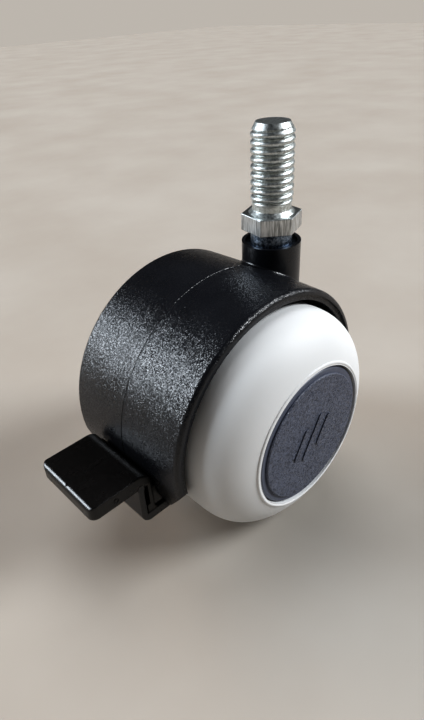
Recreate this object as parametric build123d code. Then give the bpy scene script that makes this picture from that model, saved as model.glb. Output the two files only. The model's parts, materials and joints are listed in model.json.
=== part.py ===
from build123d import *
import os
from math import cos, degrees, pi, radians, sin, sqrt

# Hooded twin-wheel chair caster with a threaded stem and a foot brake.
# Millimetres. Origin: on the stem's axis, in the hexagon's top face, where the furniture seats.
# +Z runs up the stem, the axle lies along Y, and the wheels trail on the -X side.

# ---- driving dimensions -------------------------------------------------------------------------
AXLE_BACK = 17.6            # trail: stem axis to axle
AXLE_DOWN = 37.2            # seat plane to axle
WHEEL_R = 25.0              # tread radius of the 50 mm wheels
HOOD_GAP = 1.2              # hood's inner wall to tread
HOOD_WALL = 2.4
HOOD_HALF = 16.9            # half the hood's width
HOOD_CROWN = 0.25           # how much fuller the hood is at its middle
FIT = 0.05                  # radial running clearance
AIR = 0.3                   # clearance between parts that only pass each other
OVERLAP = 0.5               # how far moulded features run into each other

# ---- stem ---------------------------------------------------------------------------------------
THREAD_R = 4.68             # 3/8-16 UNC major radius, allowance taken off
THREAD_START = 2.2          # plain shank between the hexagon and the thread
STEM_REACH = 18.5
STEM_POINT = 1.1            # end chamfer
SHANK_R = 4.25
HEX_AF = 11.6               # across flats
HEX_THICK = 3.7
HEX_TURN = 20.0
COLLAR_R = 4.6
COLLAR_BOTTOM = -6.9
JOURNAL_R = 4.0
JOURNAL_BOTTOM = -28.0
RING_THICK = 0.8
RING_MID = -26.45
RING_GROOVE_R = 3.4
RING_OUT_R = 4.65
RING_GAP_DEG = 50.0

# ---- swivel socket ------------------------------------------------------------------------------
BOSS_R = 6.6
BOSS_TOP = -6.35
BOSS_BOTTOM = -30.6
BOSS_BLEND = 0.4
DISH_R = 5.8
DISH_FLOOR = -7.5
SOCKET_R = 5.0
SOCKET_FLOOR = -29.0
SLEEVE_BOTTOM = -25.8

# ---- hood ---------------------------------------------------------------------------------------
HOOD_IN = WHEEL_R + HOOD_GAP
HOOD_OUT = HOOD_IN + HOOD_WALL
LIP_STEP = 0.45             # the inner lip stands back from the outer bead
LIP_OUT = HOOD_IN + 1.15
BEAD_R = 1.1
SEAM_HALF = 0.1             # fine ridge left by the mould's parting line
SEAM_RISE = 0.08
HOOD_END = -3.4             # height of the hood's lower edge, from the axle
WEB_HALF = 1.4
WEB_BOTTOM = -7.0
HUB_R = 6.0
HUB_HALF = 6.6
RIB_HALF = 4.6
RIB_THICK = 1.2
RIB_ANGLES = (100, 140, 178)

# ---- brake bracket, measured from the axle ------------------------------------------------------
BRAKE_HALF = 9.1            # half the width of the lever and of its bracket
TRAY_BOTTOM = -13.9
TRAY_THICK = 2.4
TRAY_CORNER = 2.2
PIVOT_X = -31.65
PIVOT_Z = -3.9
BEAD_PIVOT_R = 0.9
POST_HALF = 0.7
WINDOW_HALF = 9.3
WINDOW_LOW = -11.2
WINDOW_HIGH = -3.5
WINDOW_DEEP = 8.0
BRACKET_EDGE = 0.35

# ---- brake lever, measured from the axle --------------------------------------------------------
PAD_FRONT = -43.1
PAD_TOP = -0.6
PAD_THICK = 3.15
PAD_BACK = -29.15
PAD_BEND = 2.8
LEG_THICK = 0.95
FOOT_TOP = -9.1
FOOT_BOTTOM = -11.3
FOOT_TOE = -28.5
FOOT_BACK = -30.8
NOSE_HALF = 8.8
NOSE_LOW = -10.7
NOSE_HIGH = -5.2
NOSE_LONG = 6.0
PAD_CORNER = 1.6
PAD_ROLL = 1.2              # rounding of the pad's front edge
POCKET_X = -37.7            # hollows under the pad that keep the moulding's walls even
POCKET_Y = 4.6
POCKET_SIZE = (8.4, 6.6, 1.4)
CREASE_LONG = 12.0          # notch in the front edge that fades out along the pad
CREASE_DEEP = 0.35
GATE_X = -37.5              # moulding gate's mark on the lever's side
GATE_Z = -2.25
GATE_R = 0.6
GATE_DEEP = 0.15
PRESS_DEG = 12.0            # travel of the pad, up to AIR short of the treads

# ---- wheels, one side; measured outward from the middle plane -----------------------------------
AXLE_R = 3.0
AXLE_HALF = 22.8
WHEEL_IN = 7.0
HUB_FACE = 7.4
TREAD_END = 15.2            # where the flat tread turns into the dome
DOME_END = 28.3             # where the dome's curve would meet the axle
DOME_POWER = 2.6
TYRE_THICK = 2.4
TREAD_EDGE = 0.6
CAP_R = 15.6
CAP_HOLE_R = 15.9
CAP_FACE = 26.3
CAP_THICK = 2.0
CAP_DISC_R = 14.2
CAP_DISC_RISE = 0.5
CAP_SKIRT_R = 14.2
CAP_SKIRT_IN = 21.6
CAP_SKIRT_THICK = 1.2
CAP_MARK_RISE = 0.25
CAP_EDGE = 0.4
MARK_STEP = 3.6             # three slanted bars
MARK_LONG = 11.0
MARK_WIDE = 1.5
MARK_SLANT = 60.0
RIM_R = 16.35               # small round bead of the tyre about the cap
RIM_BEAD_R = 0.4
CORE_WALL = 1.8
CORE_FACE = 21.2
CORE_WEB = 1.6
CORE_HUB_R = 7.4
SPOKES = 12
SPOKE_THICK = 1.3
BUSH_R = 4.4
SPACER_R = 5.8
SPACER_THICK = 0.5
NUT_R = 5.6
NUT_THICK = 0.5

os.makedirs("parts", exist_ok=True)


def at_axle(shape):
    """A shape drawn about the axle's middle, put in its place."""
    return Pos(-AXLE_BACK, 0, -AXLE_DOWN) * shape


def tube_z(outer, inner, low, high):
    """An upright tube, or a rod when inner is 0."""
    ring = Circle(outer)
    if inner:
        ring -= Circle(inner)
    return extrude(Pos(0, 0, low) * ring, high - low)


def rod_y(radius, near, far):
    """A rod along Y, from y = near to y = far."""
    return extrude(Plane.XZ.offset(-near) * Circle(radius), near - far)


def turned(points):
    """A ring turned about the Y axis from (radius, y) corners."""
    return revolve(make_face(Polyline(*points, close=True)), Axis.Y)


def write(name, shape):
    export_step(shape, f"parts/{name}.step")


# ---- stem: thread, shank, hexagon, collar and journal in one turned steel piece ------------------
def stem():
    body = tube_z(SHANK_R, 0, 0, THREAD_START)
    thread = tube_z(THREAD_R, 0, THREAD_START, STEM_REACH)
    thread = chamfer(thread.edges().group_by(Axis.Z)[-1], STEM_POINT)
    hexagon = Pos(0, 0, -HEX_THICK) * Rot(0, 0, HEX_TURN) * RegularPolygon(HEX_AF / sqrt(3), 6)
    body += thread
    body += extrude(hexagon, HEX_THICK)
    body += tube_z(COLLAR_R, 0, COLLAR_BOTTOM, -HEX_THICK)
    journal = tube_z(JOURNAL_R, 0, JOURNAL_BOTTOM, COLLAR_BOTTOM)
    body += chamfer(journal.edges().group_by(Axis.Z)[0], 0.6)
    groove_low = RING_MID - RING_THICK / 2 - FIT
    groove_high = RING_MID + RING_THICK / 2 + FIT
    body -= tube_z(JOURNAL_R + 1, RING_GROOVE_R, groove_low, groove_high)
    return body


def retaining_ring():
    """Spring C-ring in the journal's groove, under the sleeve's end."""
    low = RING_MID - RING_THICK / 2
    ring = tube_z(RING_OUT_R, RING_GROOVE_R + FIT, low, low + RING_THICK)
    reach = RING_OUT_R * 2
    half = radians(RING_GAP_DEG / 2)
    gap = make_face(Polyline((0, 0), (reach * cos(half), reach * sin(half)),
                             (reach * cos(half), -reach * sin(half)), close=True))
    return ring - extrude(Pos(0, 0, low) * gap, RING_THICK)


# ---- housing: hood, socket, web, axle hub and brake bracket moulded in one piece ----------------
def hood_shell():
    lip = HOOD_HALF - LIP_STEP
    side = HOOD_HALF - BEAD_R
    corner = HOOD_OUT - BEAD_R
    turn = BEAD_R * (1 - cos(pi / 4))
    outline = Line((HOOD_IN, -lip), (HOOD_IN, lip))
    outline += Polyline((HOOD_IN, lip), (LIP_OUT, lip), (LIP_OUT, HOOD_HALF), (corner, HOOD_HALF))
    outline += ThreePointArc((corner, HOOD_HALF), (HOOD_OUT - turn, HOOD_HALF - turn), (HOOD_OUT, side))
    outline += ThreePointArc((HOOD_OUT, side), (HOOD_OUT + HOOD_CROWN, 0), (HOOD_OUT, -side))
    outline += ThreePointArc((HOOD_OUT, -side), (HOOD_OUT - turn, turn - HOOD_HALF), (corner, -HOOD_HALF))
    outline += Polyline((corner, -HOOD_HALF), (LIP_OUT, -HOOD_HALF), (LIP_OUT, -lip), (HOOD_IN, -lip))
    return revolve(make_face(outline), Axis.Y)


def seam():
    """The ridge of the parting line, all round the hood's middle."""
    crest = HOOD_OUT + HOOD_CROWN
    foot = crest - SEAM_RISE / 4
    top = crest + SEAM_RISE
    return turned([(crest - OVERLAP, -SEAM_HALF), (foot, -SEAM_HALF), (top, -SEAM_HALF / 3),
                   (top, SEAM_HALF / 3), (foot, SEAM_HALF), (crest - OVERLAP, SEAM_HALF)])


def below_hood():
    """What is cut away under the hood: all of it in front, and both flanks of the tail behind."""
    reach = HOOD_OUT + 5
    deep = reach + HOOD_END
    front = Pos(reach / 2, 0, HOOD_END - deep / 2) * Box(reach, 3 * HOOD_HALF, deep)
    under = Pos(0, 0, TRAY_BOTTOM - deep / 2) * Box(2 * reach, 3 * HOOD_HALF, deep)
    flank = make_face(Polyline((HOOD_HALF, HOOD_END), (BRAKE_HALF, TRAY_BOTTOM),
                               (BRAKE_HALF, -reach), (2 * HOOD_HALF, -reach),
                               (2 * HOOD_HALF, HOOD_END), close=True))
    left = extrude(Plane.YZ * flank, -reach)
    return [front, under, left, mirror(left, Plane.XZ)]


def bracket():
    """The tray under the lever, its upright post and the round bead that the lever rocks on."""
    outer = PIVOT_X - POST_HALF
    inner = PIVOT_X + POST_HALF
    tray_top = TRAY_BOTTOM + TRAY_THICK
    profile = Polyline((-20, TRAY_BOTTOM), (outer, TRAY_BOTTOM), (outer, PIVOT_Z), (inner, PIVOT_Z),
                       (inner, tray_top), (-20, tray_top), close=True)
    face = make_face(Plane.XZ * profile)
    body = extrude(face, BRAKE_HALF, both=True)
    low_corner = body.edges().filter_by(Axis.Y).sort_by(lambda e: e.center().X + e.center().Z)[0]
    body = fillet(low_corner, TRAY_CORNER)
    for end in (0, -1):
        rim = body.faces().filter_by(Axis.Y).sort_by(Axis.Y)[end].edges()
        body = fillet(rim.filter_by(lambda e: e.center().Z < PIVOT_Z - BEAD_PIVOT_R), BRACKET_EDGE)
    bead = Pos(PIVOT_X, 0, PIVOT_Z) * rod_y(BEAD_PIVOT_R, -BRAKE_HALF, BRAKE_HALF)
    return body + bead - rod_y(HOOD_IN + HOOD_WALL / 2, -HOOD_HALF, HOOD_HALF)


def web():
    """The middle wall that carries the axle hub, stiffened by ribs."""
    reach = HOOD_IN + OVERLAP
    wall = rod_y(reach, -WEB_HALF, WEB_HALF)
    wall -= Pos(0, 0, WEB_BOTTOM - HOOD_OUT) * Box(3 * HOOD_OUT, HOOD_HALF, 2 * HOOD_OUT)
    for angle in RIB_ANGLES:
        rib = Pos(reach / 2, 0, 0) * Box(reach, 2 * RIB_HALF, RIB_THICK)
        wall += Rot(0, -angle, 0) * rib
    return wall + rod_y(HUB_R, -HUB_HALF, HUB_HALF)


def housing():
    socket_x = AXLE_BACK
    boss_high = AXLE_DOWN + BOSS_TOP
    boss_low = AXLE_DOWN + BOSS_BOTTOM
    boss = Pos(socket_x, 0, 0) * tube_z(BOSS_R, 0, boss_low, boss_high)
    body = hood_shell() + boss - rod_y(HOOD_IN, -HOOD_HALF, HOOD_HALF)
    root = body.edges().filter_by(GeomType.BSPLINE).sort_by(Axis.Z)[-1]
    body = fillet(root, BOSS_BLEND)
    body += seam()
    for cut in below_hood():
        body -= cut
    body += bracket()
    body += web()
    body += boss
    window_mid = (WINDOW_LOW + WINDOW_HIGH) / 2
    window = Box(WINDOW_DEEP, 2 * WINDOW_HALF, WINDOW_HIGH - WINDOW_LOW)
    body -= Pos(PIVOT_X + POST_HALF + WINDOW_DEEP / 2, 0, window_mid) * window
    socket = Pos(socket_x, 0, AXLE_DOWN)
    body -= socket * tube_z(DISH_R, 0, DISH_FLOOR, 0)
    body -= socket * tube_z(SOCKET_R, 0, SOCKET_FLOOR, DISH_FLOOR)
    body -= rod_y(AXLE_R, -HOOD_HALF, HOOD_HALF)
    return at_axle(body)


def sleeve():
    return tube_z(SOCKET_R, JOURNAL_R + FIT, SLEEVE_BOTTOM, DISH_FLOOR)


def thrust_washer():
    return tube_z(DISH_R - FIT, JOURNAL_R + FIT, DISH_FLOOR, COLLAR_BOTTOM)


# ---- axle and what is fixed on it ----------------------------------------------------------------
def axle():
    pin = rod_y(AXLE_R, -AXLE_HALF, AXLE_HALF)
    return at_axle(chamfer(pin.edges().filter_by(GeomType.CIRCLE), 0.5))


def both_sides(ring):
    return at_axle(Compound([ring, mirror(ring, Plane.XZ)]))


def spacers():
    ring = rod_y(SPACER_R, HUB_HALF, HUB_HALF + SPACER_THICK) - rod_y(AXLE_R, 0, HOOD_HALF)
    return both_sides(ring)


def push_nuts():
    """Domed spring nuts driven on to the axle's ends."""
    low = CORE_FACE + AIR
    dome = turned([(AXLE_R, low + NUT_THICK), (NUT_R - 1.0, low + NUT_THICK), (NUT_R, low),
                   (NUT_R, low + NUT_THICK), (NUT_R - 0.7, low + 2 * NUT_THICK),
                   (AXLE_R, low + 2 * NUT_THICK)])
    return both_sides(dome)


# ---- wheel ---------------------------------------------------------------------------------------
def dome(radius, end, stop_r, steps=7):
    """Points of the dome's outline (a superellipse), from the tread's edge in to stop_r."""
    points = []
    last = (stop_r / radius) ** DOME_POWER
    for i in range(steps + 1):
        share = last + (1 - last) * sin(pi / 2 * (1 - i / steps)) ** 2
        r = radius * share ** (1 / DOME_POWER)
        y = TREAD_END + (end - TREAD_END) * (1 - share) ** (1 / DOME_POWER)
        points.append((r, y))
    return points


def tyre():
    outer = dome(WHEEL_R, DOME_END, CAP_HOLE_R)
    inner = dome(WHEEL_R - TYRE_THICK, DOME_END - TYRE_THICK, CAP_HOLE_R)
    in_r = WHEEL_R - TYRE_THICK
    outline = Spline(*outer, tangents=[(0, 1), (outer[-1][0] - outer[-2][0], outer[-1][1] - outer[-2][1])])
    outline += Line(outer[-1], inner[-1])
    outline += Spline(*inner, tangents=[(0, 1), (inner[-1][0] - inner[-2][0], inner[-1][1] - inner[-2][1])])
    outline += Polyline(inner[0], (in_r, WHEEL_IN), (WHEEL_R - TREAD_EDGE, WHEEL_IN),
                        (WHEEL_R, WHEEL_IN + TREAD_EDGE), outer[0])
    share = (RIM_R / WHEEL_R) ** DOME_POWER
    rim_y = TREAD_END + (DOME_END - TREAD_END) * (1 - share) ** (1 / DOME_POWER)
    rim = revolve(Plane.XY * Pos(RIM_R, rim_y - RIM_BEAD_R / 2) * Circle(RIM_BEAD_R), Axis.Y)
    return revolve(make_face(outline), Axis.Y) + rim


def core():
    out_r = WHEEL_R - TYRE_THICK
    shell = dome(out_r, DOME_END - TYRE_THICK, CAP_HOLE_R)
    hollow = dome(out_r - CORE_WALL, DOME_END - TYRE_THICK - CORE_WALL, CAP_SKIRT_R)
    web_in = CORE_FACE - CORE_WEB
    below = [p for p in hollow if p[1] < web_in - 0.2]
    outline = Spline(*shell, tangents=[(0, 1), (shell[-1][0] - shell[-2][0], shell[-1][1] - shell[-2][1])])
    outline += Polyline(shell[-1], (CAP_SKIRT_R + FIT, shell[-1][1]), (CAP_SKIRT_R + FIT, CORE_FACE),
                        (BUSH_R, CORE_FACE), (BUSH_R, HUB_FACE), (CORE_HUB_R, HUB_FACE),
                        (CORE_HUB_R, web_in), (below[-1][0] - 1.5, web_in), *reversed(below),
                        (out_r - CORE_WALL, HUB_FACE), (out_r, HUB_FACE), shell[0])
    body = revolve(make_face(outline), Axis.Y)
    spoke_long = out_r - CORE_WALL / 2 - CORE_HUB_R + OVERLAP
    spoke_deep = web_in - HUB_FACE - 0.8
    spoke = Pos(CORE_HUB_R - OVERLAP + spoke_long / 2, web_in + 0.2 - spoke_deep / 2, 0)
    spoke *= Box(spoke_long, spoke_deep, SPOKE_THICK)
    envelope = rod_y(out_r - CORE_WALL / 2, 0, TREAD_END)
    envelope += rod_y(CAP_SKIRT_R + 3, TREAD_END, CORE_FACE - CORE_WEB / 2)
    for i in range(SPOKES):
        body += Rot(0, 360 / SPOKES * i, 0) * (spoke & envelope)
    return body


def bush():
    return rod_y(BUSH_R, HUB_FACE, CORE_FACE) - rod_y(AXLE_R + FIT, 0, HOOD_OUT)


def cap():
    face = CAP_FACE + CAP_DISC_RISE
    step = CAP_EDGE / 2
    plate = turned([(0, CAP_FACE - CAP_THICK), (CAP_R, CAP_FACE - CAP_THICK), (CAP_R, CAP_FACE - CAP_EDGE),
                    (CAP_R - CAP_EDGE, CAP_FACE), (CAP_DISC_R, CAP_FACE), (CAP_DISC_R, face - step),
                    (CAP_DISC_R - step, face), (0, face)])
    skirt_top = CAP_FACE - CAP_THICK / 2
    plate += rod_y(CAP_SKIRT_R, CAP_SKIRT_IN, skirt_top) - rod_y(CAP_SKIRT_R - CAP_SKIRT_THICK, 0, skirt_top)
    mark_plane = Plane.XZ.offset(-(face - CAP_MARK_RISE))
    for shift in (-MARK_STEP, 0, MARK_STEP):
        bar = Pos(shift, 0) * Rot(0, 0, MARK_SLANT) * SlotOverall(MARK_LONG - abs(shift), MARK_WIDE)
        plate += extrude(mark_plane * bar, -2 * CAP_MARK_RISE)
    return plate


def lever():
    post_gap = PAD_BACK - LEG_THICK
    pad_bottom = PAD_TOP - PAD_THICK
    toe = FOOT_TOE - PAD_BACK
    profile = Polyline((PAD_BACK, FOOT_BOTTOM + 2 * toe), (PAD_BACK, PAD_TOP), (PAD_FRONT, PAD_TOP),
                       (PAD_FRONT, pad_bottom), (post_gap, pad_bottom), (post_gap, FOOT_TOP),
                       (FOOT_BACK, FOOT_TOP), (FOOT_BACK, FOOT_BOTTOM), (FOOT_TOE, FOOT_BOTTOM),
                       (FOOT_TOE, FOOT_BOTTOM + toe / 2), (PAD_BACK + toe / 4, FOOT_BOTTOM + toe), close=True)
    body = extrude(make_face(Plane.XZ * profile), BRAKE_HALF, both=True)
    bend = body.edges().filter_by(Axis.Y).sort_by(lambda e: e.center().X + e.center().Z)[-1]
    body = fillet(bend, PAD_BEND)
    front = body.edges().filter_by(Axis.Y).sort_by(lambda e: e.center().Z - e.center().X)[-1]
    body = fillet(front, PAD_ROLL)
    plan = Pos(0, 0, PIVOT_Z) * Box(-2 * PAD_FRONT, 2 * BRAKE_HALF, 2 * HOOD_OUT)
    body &= fillet(plan.edges().filter_by(Axis.Z).group_by(Axis.X)[0], PAD_CORNER)
    for side in (-1, 1):
        body -= Pos(POCKET_X, side * POCKET_Y, pad_bottom + POCKET_SIZE[2] / 2) * Box(*POCKET_SIZE)
    nose_x = PAD_BACK - LEG_THICK / 2 + NOSE_LONG / 2
    nose = Pos(nose_x, 0, (NOSE_LOW + NOSE_HIGH) / 2) * Box(NOSE_LONG, 2 * NOSE_HALF, NOSE_HIGH - NOSE_LOW)
    tread = rod_y(WHEEL_R + AIR, -HOOD_HALF, HOOD_HALF)
    pressed = Pos(PIVOT_X, 0, PIVOT_Z) * Rot(0, PRESS_DEG, 0) * Pos(-PIVOT_X, 0, -PIVOT_Z)
    body += nose - pressed * tread
    body -= Pos(PIVOT_X, 0, PIVOT_Z) * rod_y(BEAD_PIVOT_R + FIT, -2 * BRAKE_HALF, 2 * BRAKE_HALF)
    crease_side = CREASE_DEEP * sqrt(2)
    crease = Rot(45, 0, 0) * Box(2 * CREASE_LONG, crease_side, crease_side)
    fade = Rot(0, -degrees(CREASE_DEEP / CREASE_LONG), 0)
    body -= Pos(PAD_FRONT, 0, PAD_TOP) * fade * crease
    gate = Pos(GATE_X, 0, GATE_Z)
    body -= gate * rod_y(GATE_R, -BRAKE_HALF, GATE_DEEP - BRAKE_HALF)
    body += gate * rod_y(GATE_R / 2, -BRAKE_HALF, GATE_DEEP - BRAKE_HALF)
    return at_axle(body)


write("stem", stem())
write("stem_retaining_ring", retaining_ring())
write("housing", housing())
write("stem_sleeve", sleeve())
write("thrust_washer", thrust_washer())
write("axle_pin", axle())
write("axle_spacers", spacers())
write("axle_push_nuts", push_nuts())
write("brake_lever", lever())
for node, make in {"tyre": tyre, "core": core, "bush": bush, "hub_cap": cap}.items():
    drawn = make()
    write(f"wheel_{node}_left", at_axle(drawn))
    write(f"wheel_{node}_right", at_axle(mirror(drawn, Plane.XZ)))
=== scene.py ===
import json
from math import atan2, cos, radians, sin, sqrt

import bmesh
import bpy
from mathutils import Matrix, Vector

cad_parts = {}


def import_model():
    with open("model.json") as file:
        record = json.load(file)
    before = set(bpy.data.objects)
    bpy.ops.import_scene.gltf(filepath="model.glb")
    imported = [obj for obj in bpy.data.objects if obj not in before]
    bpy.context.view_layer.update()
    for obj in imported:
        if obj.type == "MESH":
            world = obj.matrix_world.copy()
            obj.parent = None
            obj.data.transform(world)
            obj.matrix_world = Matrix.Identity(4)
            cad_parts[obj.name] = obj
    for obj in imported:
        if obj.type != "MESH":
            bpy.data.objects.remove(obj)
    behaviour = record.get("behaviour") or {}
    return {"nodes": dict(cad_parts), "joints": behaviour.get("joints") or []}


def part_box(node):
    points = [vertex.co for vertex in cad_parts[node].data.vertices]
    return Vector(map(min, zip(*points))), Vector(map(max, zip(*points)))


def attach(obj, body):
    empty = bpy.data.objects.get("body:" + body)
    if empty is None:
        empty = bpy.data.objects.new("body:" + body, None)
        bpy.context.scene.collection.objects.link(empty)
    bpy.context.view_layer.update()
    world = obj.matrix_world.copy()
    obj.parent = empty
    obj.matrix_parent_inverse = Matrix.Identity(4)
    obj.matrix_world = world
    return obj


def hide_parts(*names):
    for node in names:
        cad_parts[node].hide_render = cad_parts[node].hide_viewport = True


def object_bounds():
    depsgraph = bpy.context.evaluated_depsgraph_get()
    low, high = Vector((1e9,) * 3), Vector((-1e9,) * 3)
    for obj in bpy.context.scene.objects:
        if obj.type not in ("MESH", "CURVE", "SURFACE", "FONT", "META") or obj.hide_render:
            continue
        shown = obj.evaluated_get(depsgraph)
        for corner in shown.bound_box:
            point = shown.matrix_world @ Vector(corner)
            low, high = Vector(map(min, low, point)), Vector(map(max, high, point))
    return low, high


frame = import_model()
CAD_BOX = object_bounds()

MM = 0.001

# ---- where things are, worked out from the frame -------------------------------------------------
JOINTS = {joint["name"]: joint for joint in frame["joints"]}
AXLE = Vector(JOINTS["wheel_left_spin"]["pos_m"])
AXLE.y = 0
FLOOR_Z = CAD_BOX[0].z
STEM_LOW, STEM_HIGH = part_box("stem")
BRACKET_X = AXLE.x - 0.0292      # beyond this, towards -X, the moulding is the lever's bracket
BOSS_R = 0.0066
HOOD_HALF = 0.0169               # half the hood's width
DISC_R = 0.0142                  # raised disc of the hub cap

# ---- the stem's own sizes, in millimetres from the hexagon's top face -------------------------------
STEM_TOP = STEM_HIGH.z / MM - 0.25   # a little under the CAD's tip
PITCH = 25.4 / 16                # sixteen turns to the inch
CREST_R = 4.6
ROOT_R = 3.95
CREST_POWER = 2.3                # higher is a flatter crest and a narrower root
SHANK_R = 4.25
THREAD_START = 1.9
THREAD_PHASE = 0.4               # where the helix starts, as a share of a turn
RUNOUT = 1.2                     # height over which the thread fades into the shank
POINT_R = 3.55
POINT_SLOPE = 0.55
TOP_RIM = 0.9                    # share of the top's radius inside its narrow border
FLARE = 0.8                      # round between the hexagon's face and the shank
HEX_R = 11.6 / sqrt(3)           # centre to corner, from the width across flats
HEX_TURN = 20.0
HEX_THICK = 3.7
HEX_BEVEL = 0.14
COLLAR_R = 4.6
COLLAR_LOW = -6.9
COLLAR_BEVEL = 0.1
JOURNAL_R = 4.0
JOURNAL_END = STEM_LOW.z / MM
JOURNAL_BEVEL = 0.6
GROOVE_R = 3.4
GROOVE_LOW = -26.9
GROOVE_HIGH = -26.0


# ---- mesh tools ----------------------------------------------------------------------------------
def to_object(name, bm, material, body, smooth_deg=35):
    """A finished bmesh in millimetres becomes a piece in metres that rides on a CAD body."""
    bmesh.ops.remove_doubles(bm, verts=bm.verts, dist=1e-5)
    bmesh.ops.dissolve_degenerate(bm, edges=bm.edges, dist=1e-5)
    bmesh.ops.recalc_face_normals(bm, faces=bm.faces)
    mesh = bpy.data.meshes.new(name)
    bmesh.ops.scale(bm, vec=(MM, MM, MM), verts=bm.verts)
    for face in bm.faces:
        face.smooth = True
    for edge in bm.edges:
        if len(edge.link_faces) == 2 and edge.calc_face_angle(0) > radians(smooth_deg):
            edge.smooth = False
    bm.to_mesh(mesh)
    bm.free()
    mesh.materials.append(material)
    obj = bpy.data.objects.new(name, mesh)
    bpy.context.scene.collection.objects.link(obj)
    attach(obj, body)
    return obj


# ---- materials -----------------------------------------------------------------------------------
class Nodes:
    """A small helper that adds shader nodes and links them."""

    def __init__(self, name):
        self.material = bpy.data.materials.new(name)
        self.material.use_nodes = True
        self.tree = self.material.node_tree
        self.shader = self.tree.nodes["Principled BSDF"]
        self.place = self.add("ShaderNodeTexCoord").outputs["Object"]

    def add(self, kind, **settings):
        node = self.tree.nodes.new(kind)
        for key, value in settings.items():
            setattr(node, key, value)
        return node

    def link(self, start, end):
        self.tree.links.new(start, end)

    def noise(self, scale, detail=2.0, roughness=0.5, stretch=None):
        node = self.add("ShaderNodeTexNoise")
        node.inputs["Scale"].default_value = scale
        node.inputs["Detail"].default_value = detail
        node.inputs["Roughness"].default_value = roughness
        place = self.place
        if stretch:
            mapping = self.add("ShaderNodeMapping")
            mapping.inputs["Scale"].default_value = stretch
            self.link(place, mapping.inputs["Vector"])
            place = mapping.outputs["Vector"]
        self.link(place, node.inputs["Vector"])
        return node.outputs["Fac"]

    def ramp(self, fac, low, high, start, end):
        """Maps fac between low and high to a value between start and end."""
        node = self.add("ShaderNodeMapRange")
        node.inputs["From Min"].default_value = low
        node.inputs["From Max"].default_value = high
        node.inputs["To Min"].default_value = start
        node.inputs["To Max"].default_value = end
        self.link(fac, node.inputs["Value"])
        return node.outputs["Result"]

    def math(self, operation, first, second=None):
        node = self.add("ShaderNodeMath", operation=operation)
        for value, socket in zip((first, second), node.inputs):
            if isinstance(value, (int, float)):
                socket.default_value = value
            elif value is not None:
                self.link(value, socket)
        return node.outputs[0]

    def axes(self):
        """The X, Y and Z of the point, in metres."""
        split = self.add("ShaderNodeSeparateXYZ")
        self.link(self.place, split.inputs[0])
        return split.outputs

    def off_centre(self, first, first_at, second, second_at):
        """Distance from an axis that crosses the plane of two coordinates at the given place."""
        sides = []
        for value, centre in ((first, first_at), (second, second_at)):
            away = self.math("SUBTRACT", value, centre)
            sides.append(self.math("MULTIPLY", away, away))
        return self.math("SQRT", self.math("ADD", *sides))

    def mix(self, fac, low, high):
        node = self.add("ShaderNodeMix", data_type="RGBA")
        for value, socket in zip((fac, low, high), (node.inputs[0], node.inputs[6], node.inputs[7])):
            self.link(value, socket)
        return node.outputs[2]

    def colours(self, fac, stops):
        node = self.add("ShaderNodeValToRGB")
        elements = node.color_ramp.elements
        for i, (position, colour) in enumerate(stops):
            element = elements[i] if i < 2 else elements.new(position)
            element.position = position
            element.color = (*colour, 1)
        self.link(fac, node.inputs["Fac"])
        return node.outputs["Color"]

    def flakes(self, scale, tilt, amount=None):
        """A normal broken into small flat grains, each tipped its own way."""
        cells = self.add("ShaderNodeTexVoronoi")
        cells.inputs["Scale"].default_value = scale
        self.link(self.place, cells.inputs["Vector"])
        centred = self.add("ShaderNodeVectorMath", operation="SUBTRACT")
        centred.inputs[1].default_value = (0.5, 0.5, 0.5)
        self.link(cells.outputs["Color"], centred.inputs[0])
        tipped = self.add("ShaderNodeVectorMath", operation="SCALE")
        tipped.inputs["Scale"].default_value = tilt
        self.link(centred.outputs[0], tipped.inputs[0])
        if amount is not None:
            self.link(self.math("MULTIPLY", amount, tilt), tipped.inputs["Scale"])
        summed = self.add("ShaderNodeVectorMath", operation="ADD")
        self.link(self.add("ShaderNodeNewGeometry").outputs["Normal"], summed.inputs[0])
        self.link(tipped.outputs[0], summed.inputs[1])
        unit = self.add("ShaderNodeVectorMath", operation="NORMALIZE")
        self.link(summed.outputs[0], unit.inputs[0])
        return unit.outputs[0]

    def soft_edges(self, radius_mm):
        """A normal that rounds sharp edges by a small radius."""
        node = self.add("ShaderNodeBevel", samples=6)
        node.inputs["Radius"].default_value = radius_mm * MM
        return node.outputs["Normal"]

    def bump(self, height, strength, distance_mm, under=None):
        node = self.add("ShaderNodeBump")
        node.inputs["Strength"].default_value = strength
        node.inputs["Distance"].default_value = distance_mm * MM
        self.link(height, node.inputs["Height"])
        if under:
            self.link(under, node.inputs["Normal"])
        return node.outputs["Normal"]

    def finish(self, base=None, rough=None, normal=None, **values):
        for socket, link in (("Base Color", base), ("Roughness", rough), ("Normal", normal)):
            if link is not None:
                self.link(link, self.shader.inputs[socket])
        for key, value in values.items():
            self.shader.inputs[key.replace("_", " ")].default_value = value
        return self.material


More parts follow.
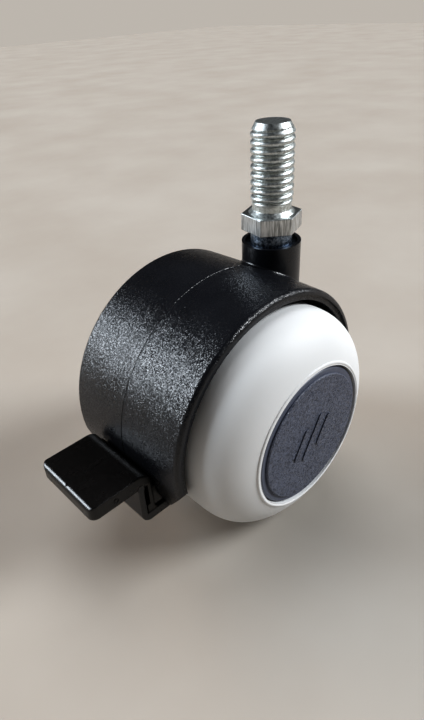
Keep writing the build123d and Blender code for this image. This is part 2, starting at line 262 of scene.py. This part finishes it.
def textured_plastic():
    """Black nylon with the sparkle of a spark-eroded mould; the boss and the bracket are only satin."""
    n = Nodes("hood_nylon")
    x, y, _ = n.axes()
    past_boss = n.ramp(n.off_centre(x, 0, y, 0), BOSS_R + 0.00005, BOSS_R + 0.0005, 0, 1)
    past_post = n.ramp(x, BRACKET_X - 0.001, BRACKET_X + 0.0015, 0, 1)
    inside_rim = n.ramp(n.math("ABSOLUTE", y), HOOD_HALF - 0.00015, HOOD_HALF - 0.00005, 1, 0.25)
    masks = n.math("MULTIPLY", n.math("MULTIPLY", past_boss, past_post), inside_rim)
    amount = n.ramp(masks, 0, 1, 0.08, 1)
    cloud = n.noise(120, 3.0)
    fine = n.noise(6500, 2.0, 0.6)
    normal = n.bump(fine, 0.3, 0.03, n.flakes(8200, 0.48, amount))
    base = n.colours(cloud, [(0.3, (0.0095, 0.0105, 0.0135)), (0.7, (0.0125, 0.0138, 0.0175))])
    rough = n.ramp(cloud, 0.3, 0.7, 0.26, 0.32)
    return n.finish(base, rough, normal, Specular_IOR_Level=0.7)


def gloss_plastic():
    """Polished black plastic of the lever, with faint rubbing marks."""
    n = Nodes("lever_gloss")
    smear = n.noise(160, 3.0, 0.55, (1, 3, 1))
    speck = n.noise(1500, 2.0)
    base = n.colours(speck, [(0.35, (0.0075, 0.007, 0.0068)), (0.7, (0.0105, 0.0098, 0.0095))])
    rough = n.ramp(smear, 0.3, 0.7, 0.2, 0.3)
    normal = n.bump(smear, 0.15, 0.05, n.soft_edges(0.6))
    return n.finish(base, rough, normal, Specular_IOR_Level=0.5)


def cap_plastic():
    """Blue-black hub cap: a finely grained disc inside a smooth border."""
    n = Nodes("cap_nylon")
    x, _, z = n.axes()
    disc = n.ramp(n.off_centre(x, AXLE.x, z, AXLE.z), DISC_R - 0.0002, DISC_R + 0.0001, 1, 0.06)
    cloud = n.noise(150, 2.0)
    fine = n.noise(5200, 3.0, 0.6)
    base = n.colours(cloud, [(0.3, (0.108, 0.119, 0.158)), (0.7, (0.126, 0.138, 0.180))])
    rough = n.ramp(fine, 0.3, 0.7, 0.36, 0.5)
    normal = n.bump(fine, 0.3, 0.03, n.flakes(4600, 1.05, disc))
    return n.finish(base, rough, normal)


def white_wheel():
    """Creamy white polyurethane, slightly translucent and waxy."""
    n = Nodes("wheel_white")
    cloud = n.noise(60, 3.0)
    speck = n.noise(2500, 2.0)
    base = n.colours(cloud, [(0.3, (0.75, 0.755, 0.755)), (0.7, (0.78, 0.785, 0.785))])
    rough = n.ramp(cloud, 0.3, 0.7, 0.55, 0.65)
    normal = n.bump(speck, 0.08, 0.02)
    return n.finish(base, rough, normal, Subsurface_Weight=0.08, Subsurface_Scale=0.001,
                    Subsurface_Radius=(1, 0.95, 0.9))


def zinc(name, low, high, rough_low, rough_high):
    """Zinc plate, spotted and slightly uneven."""
    n = Nodes(name)
    spots = n.noise(700, 3.0, 0.6)
    base = n.colours(spots, [(0.3, low), (0.65, high)])
    rough = n.ramp(spots, 0.3, 0.7, rough_low, rough_high)
    normal = n.bump(spots, 0.25, 0.03)
    return n.finish(base, rough, normal, Metallic=1.0)


def stem_zinc():
    """Bright zinc: rolled marks round the thread, milled marks up the hexagon, and a collar with
    painted dark shade and reflection.
    """
    n = Nodes("zinc_stem")
    z = n.axes()["Z"]
    spots = n.noise(1700, 3.0, 0.7)
    milled = n.noise(3000, 3.0, 0.7, (1, 1, 0.06))
    rolled = n.noise(900, 3.0, 0.6, (0.5, 0.5, 5))
    over_collar = n.ramp(z, -HEX_THICK * MM - 0.0001, -HEX_THICK * MM + 0.0001, 0, 1)
    over_hex = n.ramp(z, -0.0002, 0.0001, 0, 1)
    thread = n.colours(spots, [(0.32, (0.44, 0.47, 0.455)), (0.62, (0.74, 0.77, 0.765))])
    hexagon = n.colours(milled, [(0.36, (0.30, 0.31, 0.31)), (0.6, (0.80, 0.82, 0.83))])
    # painted shade and reflection: the collar down in the boss's dish is coloured dark blue-black to
    # stand in for the shade and dark reflection it shows there
    collar = n.colours(spots, [(0.4, (0.09, 0.115, 0.15)), (0.66, (0.42, 0.48, 0.56))])
    base = n.mix(over_collar, collar, n.mix(over_hex, hexagon, thread))
    rough = n.ramp(spots, 0.3, 0.7, 0.3, 0.5)
    normal = n.bump(rolled, 0.3, 0.03, n.soft_edges(0.12))
    normal = n.bump(milled, 0.35, 0.03, normal)
    normal = n.bump(spots, 0.55, 0.03, normal)
    return n.finish(base, rough, normal, Metallic=1.0)


def plain_plastic(name, low, high, rough_low, rough_high):
    """Plain moulded plastic with a faint grain."""
    n = Nodes(name)
    cloud = n.noise(200, 3.0)
    grain = n.noise(1800, 2.0)
    base = n.colours(cloud, [(0.3, low), (0.7, high)])
    rough = n.ramp(cloud, 0.3, 0.7, rough_low, rough_high)
    normal = n.bump(grain, 0.15, 0.03)
    return n.finish(base, rough, normal)


HOOD = textured_plastic()
LEVER = gloss_plastic()
CAP = cap_plastic()
WHITE = white_wheel()
STEM_ZINC = stem_zinc()
PLAIN_ZINC = zinc("zinc_plain", (0.60, 0.62, 0.63), (0.78, 0.80, 0.81), 0.2, 0.36)
# painted shade: the thrust washer, deep in the boss's dish, is coloured nearly black with a blue tint
# to stand in for the shade and dark reflection there
WASHER_PAINTED_SHADE = zinc("zinc_painted_shade", (0.03, 0.042, 0.06), (0.2, 0.24, 0.3), 0.25, 0.4)
DARK_STEEL = zinc("spring_steel", (0.25, 0.25, 0.26), (0.42, 0.42, 0.43), 0.3, 0.5)
CORE = plain_plastic("core_black", (0.018, 0.018, 0.02), (0.03, 0.03, 0.032), 0.4, 0.55)
NATURAL = plain_plastic("bush_natural", (0.62, 0.60, 0.54), (0.70, 0.68, 0.62), 0.35, 0.5)

CAD_FINISH = {
    "housing": HOOD, "brake_lever": LEVER, "thrust_washer": WASHER_PAINTED_SHADE, "stem_sleeve": DARK_STEEL,
    "stem_retaining_ring": DARK_STEEL, "axle_pin": PLAIN_ZINC, "axle_spacers": NATURAL,
    "axle_push_nuts": DARK_STEEL, "stem": STEM_ZINC,
}
for side in ("left", "right"):
    CAD_FINISH[f"wheel_tyre_{side}"] = WHITE
    CAD_FINISH[f"wheel_core_{side}"] = CORE
    CAD_FINISH[f"wheel_bush_{side}"] = NATURAL
    CAD_FINISH[f"wheel_hub_cap_{side}"] = CAP
for node, material in CAD_FINISH.items():
    slots = frame["nodes"][node].data.materials
    slots.clear()
    slots.append(material)


# ---- stem with its real thread -------------------------------------------------------------------
STEM_SIDES = 144
# heights of the grid's rows within one pitch, closer together about the root
THREAD_ROWS = (0.0, 0.1, 0.2, 0.28, 0.35, 0.41, 0.46, 0.5, 0.54, 0.59, 0.65, 0.72, 0.8, 0.9)


def smooth(t):
    """Eases from 0 to 1 as t goes from 0 to 1."""
    t = min(1.0, max(0.0, t))
    return t * t * (3 - 2 * t)


def thread_radius(turn, z):
    """Radius of the thread's surface at a share of the pitch from the crest, at height z."""
    from_crest = 2 * min(turn, 1 - turn)
    radius = CREST_R - (CREST_R - ROOT_R) * from_crest ** CREST_POWER
    fade = smooth((z - THREAD_START) / RUNOUT)
    radius = SHANK_R + (radius - SHANK_R) * fade
    return min(radius, POINT_R + POINT_SLOPE * (STEM_TOP - z))


def hex_radius(angle):
    """Distance from the axis to the hexagon's side, in a direction in degrees."""
    from_flat = (angle - HEX_TURN) % 60 - 30
    return HEX_R * cos(radians(30)) / cos(radians(from_flat))


def stem():
    """The whole stem: rings up to the shank, then a helical grid for the thread, closed on top."""
    bm = bmesh.new()
    angles = [360 * k / STEM_SIDES for k in range(STEM_SIDES)]

    def ring(z, radius_at):
        made = []
        for angle in angles:
            r = radius_at(angle)
            made.append(bm.verts.new((r * cos(radians(angle)), r * sin(radians(angle)), z)))
        return made

    def skin(low, high):
        for k in range(STEM_SIDES):
            n = (k + 1) % STEM_SIDES
            bm.faces.new((low[k], low[n], high[n], high[k]))

    plain = [
        (JOURNAL_END, JOURNAL_R - JOURNAL_BEVEL), (JOURNAL_END + JOURNAL_BEVEL, JOURNAL_R),
        (GROOVE_LOW, JOURNAL_R), (GROOVE_LOW, GROOVE_R),
        (GROOVE_HIGH, GROOVE_R), (GROOVE_HIGH, JOURNAL_R),
        (COLLAR_LOW, JOURNAL_R), (COLLAR_LOW, COLLAR_R - COLLAR_BEVEL),
        (COLLAR_LOW + COLLAR_BEVEL, COLLAR_R), (-HEX_THICK, COLLAR_R),
    ]
    rings = [ring(z, lambda angle, r=r: r) for z, r in plain]
    hexagon = ((-HEX_THICK, HEX_BEVEL), (HEX_BEVEL - HEX_THICK, 0), (-HEX_BEVEL, 0), (0, HEX_BEVEL))
    for z, inset in hexagon:
        rings.append(ring(z, lambda angle, inset=inset: hex_radius(angle) - inset))
    for turn in range(0, 91, 15):
        rise = FLARE * sin(radians(turn))
        flare_r = SHANK_R + FLARE * (1 - cos(radians(90 - turn)))
        rings.append(ring(rise, lambda angle, r=flare_r: r))
    rings.append(ring(THREAD_START, lambda angle: SHANK_R))
    for low, high in zip(rings, rings[1:]):
        skin(low, high)
    bm.faces.new(reversed(rings[0]))

    # each column climbs by its share of a pitch and the last joins the first one pitch up; the grid
    # starts two pitches low, so that every column reaches the shank, where its heights are clamped
    rows = len(THREAD_ROWS)
    pitches = int((STEM_TOP - THREAD_START) / PITCH) + 4
    start = THREAD_START - 2 * PITCH
    grid = []
    for k, angle in enumerate(angles):
        column = []
        for j in range(pitches * rows):
            z = start + PITCH * (j // rows + THREAD_ROWS[j % rows] + k / STEM_SIDES + THREAD_PHASE)
            z = min(STEM_TOP, max(THREAD_START, z))
            r = thread_radius(THREAD_ROWS[j % rows], z)
            column.append(bm.verts.new((r * cos(radians(angle)), r * sin(radians(angle)), z)))
        grid.append(column)
    for k in range(STEM_SIDES):
        shift = rows if k == STEM_SIDES - 1 else 0
        here, beside = grid[k], grid[(k + 1) % STEM_SIDES]
        for j in range(pitches * rows - 1 - shift):
            bm.faces.new((here[j], beside[j + shift], beside[j + shift + 1], here[j + 1]))
    bmesh.ops.remove_doubles(bm, verts=bm.verts, dist=1e-4)
    loose = [v for v in bm.verts if not v.link_faces]
    bmesh.ops.delete(bm, geom=loose, context="VERTS")
    top = [v for v in bm.verts if v.co.z > STEM_TOP - 1e-4]
    top.sort(key=lambda v: atan2(v.co.y, v.co.x))
    inner = []
    for vert in top:
        inner.append(bm.verts.new((vert.co.x * TOP_RIM, vert.co.y * TOP_RIM, STEM_TOP)))
    for k in range(len(top)):
        n = (k + 1) % len(top)
        bm.faces.new((top[k], top[n], inner[n], inner[k]))
    bm.faces.new(inner)
    return to_object("stem_threaded", bm, STEM_ZINC, "stem", 30)


STEM = stem()
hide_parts("stem")


# ---- floor, light and camera ---------------------------------------------------------------------
FLOOR_HALF = 2.0
CAMERA_SPOT = Vector((-87.32, -73.70, 38.45)) * MM
CAMERA_YAW = 0.831
CAMERA_PITCH = 0.594
CAMERA_ROLL = -0.058
CAMERA_LENS = 26.57


def floor():
    """A plain pale floor under the treads, faintly clouded."""
    bm = bmesh.new()
    bmesh.ops.create_grid(bm, x_segments=1, y_segments=1, size=FLOOR_HALF)
    bmesh.ops.translate(bm, vec=(0, 0, FLOOR_Z), verts=bm.verts)
    mesh = bpy.data.meshes.new("floor")
    bm.to_mesh(mesh)
    bm.free()
    n = Nodes("floor_tile")
    cloud = n.noise(14, 4.0, 0.55)
    base = n.colours(cloud, [(0.3, (0.36, 0.332, 0.298)), (0.7, (0.40, 0.377, 0.345))])
    rough = n.ramp(cloud, 0.3, 0.7, 0.75, 0.85)
    mesh.materials.append(n.finish(base, rough, None, Specular_IOR_Level=0.03))
    obj = bpy.data.objects.new("floor", mesh)
    bpy.context.scene.collection.objects.link(obj)


def aim(obj, target):
    """Turns a light so that it shines towards the target."""
    away = obj.location - Vector(target)
    obj.rotation_mode = "QUATERNION"
    obj.rotation_quaternion = away.to_track_quat("Z", "Y")


def camera():
    """Yaw is measured from +X, pitch is downwards, roll is about the view; all in radians."""
    data = bpy.data.cameras.new("camera")
    data.lens = CAMERA_LENS
    data.sensor_width = 36
    data.clip_start = 0.005
    data.clip_end = 10
    obj = bpy.data.objects.new("camera", data)
    bpy.context.scene.collection.objects.link(obj)
    flat = cos(CAMERA_PITCH)
    ahead = Vector((flat * cos(CAMERA_YAW), flat * sin(CAMERA_YAW), -sin(CAMERA_PITCH)))
    level = Vector((sin(CAMERA_YAW), -cos(CAMERA_YAW), 0))
    above = level.cross(ahead)
    right = level * cos(CAMERA_ROLL) + above * sin(CAMERA_ROLL)
    up = above * cos(CAMERA_ROLL) - level * sin(CAMERA_ROLL)
    turn = Matrix((right, up, -ahead)).transposed()
    obj.matrix_world = Matrix.Translation(CAMERA_SPOT) @ turn.to_4x4()
    bpy.context.scene.camera = obj


def world():
    """A dim warm room, paler towards the horizon; the camera sees a plain pale backdrop."""
    made = bpy.data.worlds.new("studio")
    made.use_nodes = True
    tree = made.node_tree
    back = tree.nodes["Background"]
    place = tree.nodes.new("ShaderNodeTexCoord")
    split = tree.nodes.new("ShaderNodeSeparateXYZ")
    ramp = tree.nodes.new("ShaderNodeValToRGB")
    tree.links.new(place.outputs["Generated"], split.inputs[0])
    tree.links.new(split.outputs["Z"], ramp.inputs["Fac"])
    horizon, overhead = ramp.color_ramp.elements
    horizon.position = 0.05
    horizon.color = (0.085, 0.08, 0.075, 1)
    overhead.position = 0.45
    overhead.color = (0.034, 0.034, 0.036, 1)
    seen = tree.nodes.new("ShaderNodeLightPath")
    mix = tree.nodes.new("ShaderNodeMix")
    mix.data_type = "RGBA"
    mix.inputs[7].default_value = (0.40, 0.375, 0.345, 1)
    tree.links.new(seen.outputs["Is Camera Ray"], mix.inputs[0])
    tree.links.new(ramp.outputs["Color"], mix.inputs[6])
    tree.links.new(mix.outputs[2], back.inputs["Color"])
    back.inputs["Strength"].default_value = 1.0
    bpy.context.scene.world = made


def sky_light(name, azimuth, elevation, spread, strength, colour, shine=True):
    """A distant soft source; azimuth from +X and angular spread in degrees, seen in gloss or not."""
    data = bpy.data.lights.new(name, "SUN")
    data.angle = radians(spread)
    data.energy = strength
    data.color = colour
    obj = bpy.data.objects.new(name, data)
    bpy.context.scene.collection.objects.link(obj)
    a, e = radians(azimuth), radians(elevation)
    obj.location = Vector((cos(a) * cos(e), sin(a) * cos(e), sin(e)))
    aim(obj, (0, 0, 0))
    obj.visible_glossy = shine


floor()
world()
camera()
bpy.context.scene.view_settings.view_transform = "Standard"
bpy.context.scene.view_settings.look = "High Contrast"
sky_light("key", -43, 36, 26, 2.5, (0.94, 0.97, 1))
sky_light("window", 131, 23, 24, 2.1, (0.86, 0.93, 1))
sky_light("behind", 45, 60, 40, 1.2, (0.95, 0.97, 1), shine=False)
sky_light("warm_wall", 100, 14, 40, 1.5, (1, 0.66, 0.4), shine=False)
